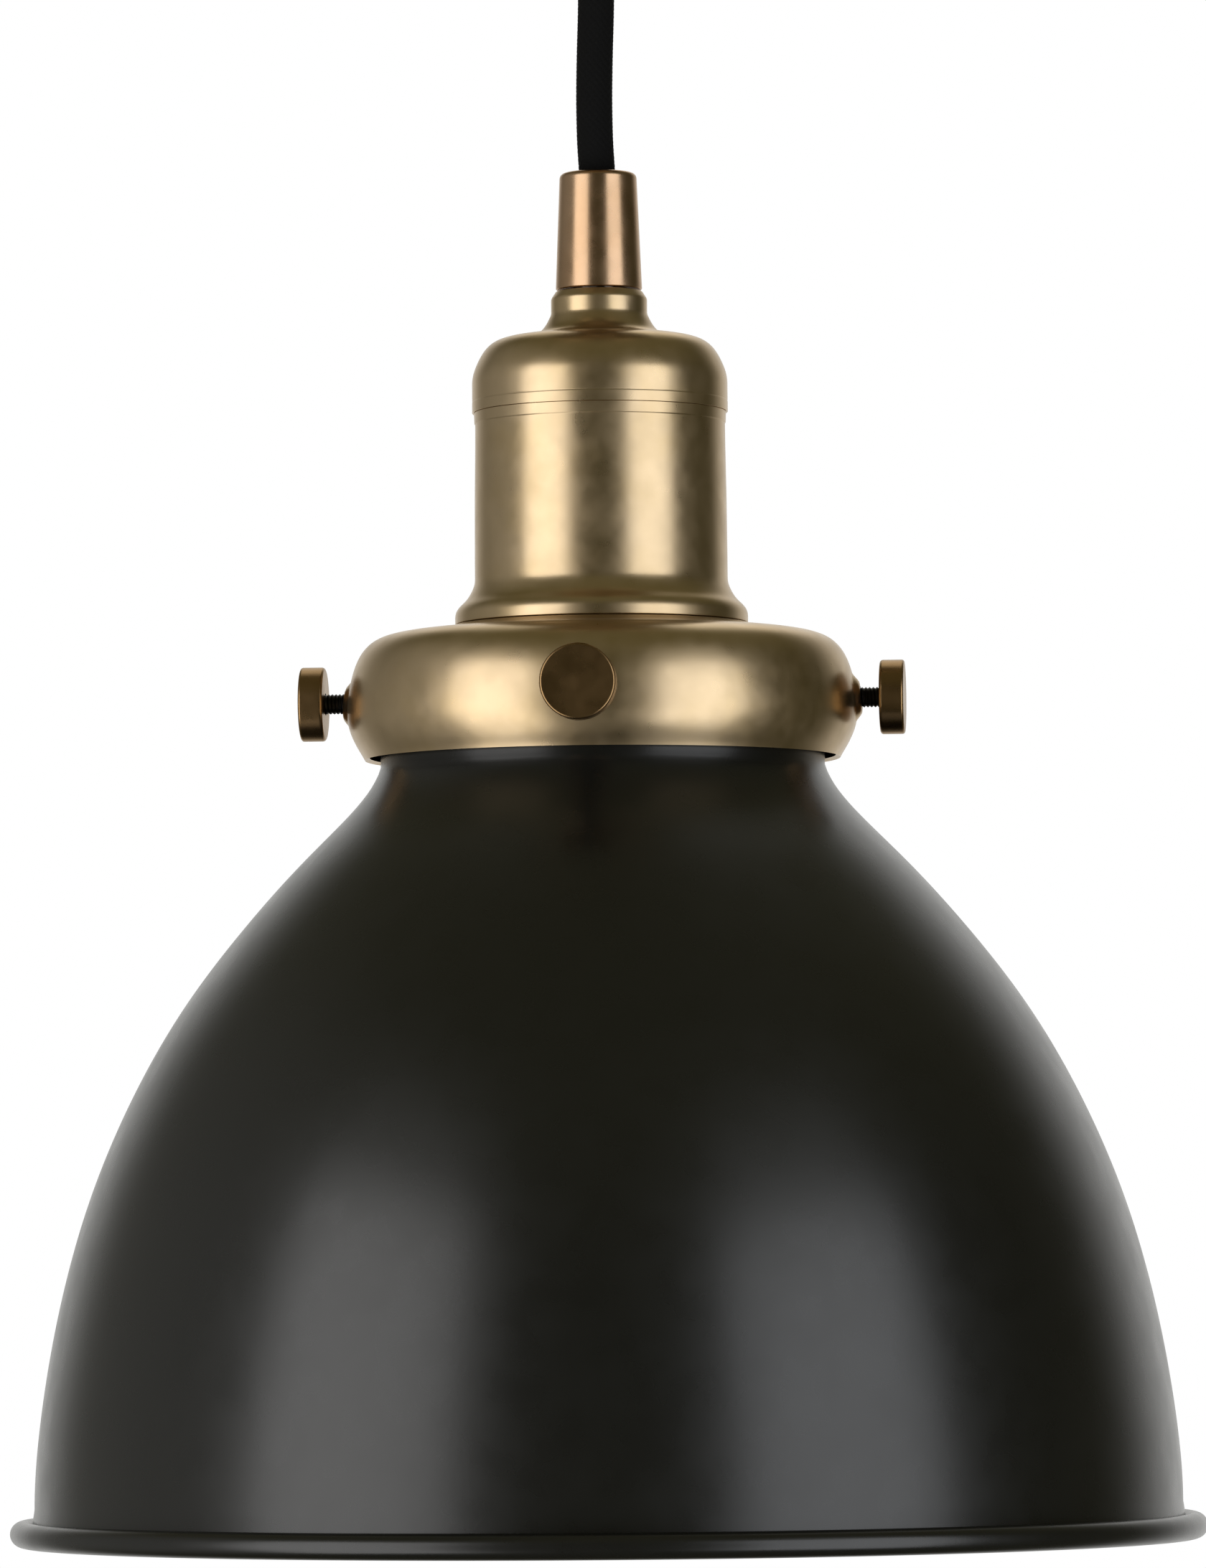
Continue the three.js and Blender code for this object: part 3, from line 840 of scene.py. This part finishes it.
def rose_screws():
    """The two slotted screws that hold the cup to its bracket, one on each side."""
    for sign, name in ((1, "right"), (-1, "left")):
        head = rounded(
            [
                (0, -11), (2, -11, 0.3), (2, 0),
                (SCREW_HEAD_RADIUS, 0, 0.3), (SCREW_HEAD_RADIUS, SCREW_HEAD_SIDE, 0.5),
            ]
        )  # fmt: skip
        dome = [
            (SCREW_HEAD_RADIUS * math.cos(a), SCREW_HEAD_SIDE + SCREW_HEAD_RISE * math.sin(a))
            for a in np.linspace(0.25, 1.4, 8)
        ]
        top = [(0, SCREW_HEAD_SIDE + SCREW_HEAD_RISE)]
        screw = turned(f"rose_screw_{name}_slotted", head + dome + top, BRASS, 64)
        drilled(screw, [slab((0, 0, SLOT_LEVEL), SLOT_SIZE)])
        screw.data.transform(
            Matrix.Translation((sign * SIDE_SCREW_SEAT, 0, SIDE_SCREW_LEVEL))
            @ Matrix.Rotation(sign * QUARTER, 4, "Y")
        )
        settle(screw, "rose", "brass", f"rose_screw_{name}")


# ---------------------------------------------------------------- carried-over CAD nodes

# Each node's material, its slot and the width of its broken edges in metres.
KEPT = {
    "rose_bracket": (ZINC, "zinc_steel", 0.0003),
    "outlet_locknut": (ZINC, "zinc_steel", 0.0004),
    "terminal_block": (PORCELAIN, "porcelain", 0.0006),
    "block_screw_live": (ZINC, "zinc_steel", 0.0002),
    "block_screw_neutral": (ZINC, "zinc_steel", 0.0002),
    "rose_lead_live": (BROWN, "brown_insulation", 0),
    "rose_lead_neutral": (BLUE, "blue_insulation", 0),
    "grip_screw": (BLACK_STEEL, "black_steel", 0.0002),
    "nipple": (ZINC, "zinc_steel", 0.0002),
    "nipple_locknut": (ZINC, "zinc_steel", 0.0004),
    "centre_contact": (BRASS, "brass", 0.0002),
    "terminal_screw_live": (ZINC, "zinc_steel", 0.0002),
    "terminal_screw_neutral": (ZINC, "zinc_steel", 0.0002),
    "lamp_lead_live": (BROWN, "brown_insulation", 0),
    "lamp_lead_neutral": (BLUE, "blue_insulation", 0),
}


def dress_kept_nodes():
    """The small inner CAD pieces get their materials and slightly broken edges."""
    for name, (material, slot, edge) in KEPT.items():
        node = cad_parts[name]
        node.data.materials.clear()
        node.data.materials.append(material)
        weld = node.modifiers.new("weld", "WELD")
        weld.merge_threshold = 1e-6
        if edge:
            bevel = node.modifiers.new("edge", "BEVEL")
            bevel.width = edge
            bevel.segments = 2
            bevel.limit_method = "ANGLE"
            bevel.angle_limit = math.radians(50)


# ---------------------------------------------------------------- light and stage

FLOOR_LEVEL = -2.1
FLOOR_REACH = 40.0
FLOOR_CELLS = 20
FLOOR_WASH_LEVEL = -0.9
FLOOR_WASH = 0.6
SOFTBOXES = [
    # azimuth from the camera's side, width, bottom and top about the lamp's middle, radiance, tint
    (-51, 0.94, -1.40, 0.74, 2.1, (1.0, 0.995, 1.0)),
    (-51, 0.84, 0.74, 1.20, 0.25, (1.0, 0.995, 1.0)),
    (46, 0.92, -1.15, 0.67, 1.9, (1.0, 1.025, 1.07)),
    (46, 0.82, 0.67, 1.15, 0.3, (1.0, 1.025, 1.07)),
]
SOFTBOX_DISTANCE = 1.2
# How bright each part of the surroundings is, and the colour of the dim part.
ROOM = 0.06
WALL = 0.95
HIGH_BEHIND = 1.2
OVERHEAD = 0.08
LEFT = 0.25
WARM = (1.0, 0.93, 0.50, 1)
MIDDLE = Vector((0, 0, GRIP_TOP - 0.15))


def softboxes():
    """Two tall soft lights in front, left and right of the camera, each with a dimmer top."""
    for i, (azimuth, width, bottom, top, radiance, tint) in enumerate(SOFTBOXES):
        data = bpy.data.lights.new(f"softbox_{i}", "AREA")
        data.shape = "RECTANGLE"
        data.size, data.size_y = width, top - bottom
        data.energy = radiance * math.pi * width * (top - bottom)
        data.color = tint
        light = bpy.data.objects.new(f"softbox_{i}", data)
        bpy.context.scene.collection.objects.link(light)
        a = EYE_AZIMUTH + math.radians(azimuth)
        out = Vector((math.sin(a), -math.cos(a), 0)) * SOFTBOX_DISTANCE
        light.location = MIDDLE + out + Vector((0, 0, (bottom + top) / 2))
        light.rotation_euler = (-out).to_track_quat("-Z", "Y").to_euler()
        light.visible_camera = False


def surroundings():
    """A dim warm room in front, a white wall behind, and plain white for the camera itself.

    A direction's X grows to the right, its Y away from the camera and its Z upwards."""
    world = bpy.data.worlds.new("studio")
    bpy.context.scene.world = world
    world.use_nodes = True
    tree = world.node_tree
    background = tree.nodes["Background"]
    split = tree.nodes.new("ShaderNodeSeparateXYZ")
    place = tree.nodes.new("ShaderNodeTexCoord")
    tree.links.new(place.outputs["Generated"], split.inputs[0])

    def ramp(component, start, end, high):
        """Rises smoothly from 0 to high as the direction's component goes from start to end."""
        node = tree.nodes.new("ShaderNodeMapRange")
        node.interpolation_type = "SMOOTHSTEP"
        node.inputs["From Min"].default_value = start
        node.inputs["From Max"].default_value = end
        node.inputs["To Max"].default_value = high
        source = split.outputs[component] if isinstance(component, str) else component
        tree.links.new(source, node.inputs["Value"])
        return node.outputs["Result"]

    def joined(operation, first, second):
        """The sum, product or the like of two, each a number or an output."""
        node = tree.nodes.new("ShaderNodeMath")
        node.operation = operation
        for value, target in ((first, node.inputs[0]), (second, node.inputs[1])):
            if isinstance(value, float):
                target.default_value = value
            else:
                tree.links.new(value, target)
        return node.outputs[0]

    def mixed(data_type, factor):
        """A mix driven by the factor, with the two sockets that it mixes and its result."""
        node = tree.nodes.new("ShaderNodeMix")
        node.data_type = data_type
        tree.links.new(factor, node.inputs["Factor"])
        kind = {"FLOAT": "VALUE", "RGBA": "RGBA"}[data_type]
        first, second = [s for s in node.inputs if s.name in ("A", "B") and s.type == kind]
        return first, second, next(s for s in node.outputs if s.type == kind)

    across = joined("ABSOLUTE", split.outputs["X"], 0.0)
    near_the_middle = ramp(across, 0.45, 0.1, 1.0)
    behind = joined("MULTIPLY", ramp("Y", 0.08, 0.5, 1.0), near_the_middle)
    high_behind = joined("MULTIPLY", behind, ramp("Z", 0.3, 0.8, HIGH_BEHIND))
    wall = ramp("Y", 0.58, 0.99, WALL)
    left = ramp("X", -0.5, -1.0, LEFT)
    overhead = ramp("Z", 0.3, 0.9, OVERHEAD)
    bright = joined("ADD", joined("ADD", wall, high_behind), left)
    total = joined("ADD", bright, joined("ADD", overhead, ROOM))

    for_the_camera = tree.nodes.new("ShaderNodeLightPath").outputs["Is Camera Ray"]
    first, second, strength = mixed("FLOAT", for_the_camera)
    tree.links.new(total, first)
    second.default_value = 1.0
    tree.links.new(strength, background.inputs["Strength"])
    untinted = joined("MAXIMUM", joined("DIVIDE", bright, total), for_the_camera)
    first, second, colour = mixed("RGBA", untinted)
    first.default_value = WARM
    second.default_value = (1, 1, 1, 1)
    tree.links.new(colour, background.inputs["Color"])
    bpy.context.scene.view_settings.view_transform = "Standard"


def floor():
    """A plain pale floor well below the lamp, with a wide wash of light that starts below it."""
    row = FLOOR_CELLS + 1
    line = np.linspace(-FLOOR_REACH, FLOOR_REACH, row)
    vertices = [(x, y, FLOOR_LEVEL) for y in line for x in line]
    faces = [
        (j * row + i, j * row + i + 1, (j + 1) * row + i + 1, (j + 1) * row + i)
        for j in range(FLOOR_CELLS)
        for i in range(FLOOR_CELLS)
    ]
    plane = make_piece("floor", vertices, faces, pale_floor())
    plane.modifiers.clear()
    plane.visible_glossy = False
    data = bpy.data.lights.new("floor_wash", "AREA")
    data.size = 2 * FLOOR_REACH
    data.energy = FLOOR_WASH * math.pi * data.size**2
    wash = bpy.data.objects.new("floor_wash", data)
    bpy.context.scene.collection.objects.link(wash)
    wash.location = (0, 0, FLOOR_WASH_LEVEL)
    wash.visible_camera = False


make_camera()
make_cord()
cord_grip()
holder_cap()
holder_barrel()
gallery()
clamp_ring()
shade()
thumbscrews()
insulator()
screw_shell()
rose_cup()
cord_outlet()
rose_screws()
dress_kept_nodes()
softboxes()
surroundings()
floor()
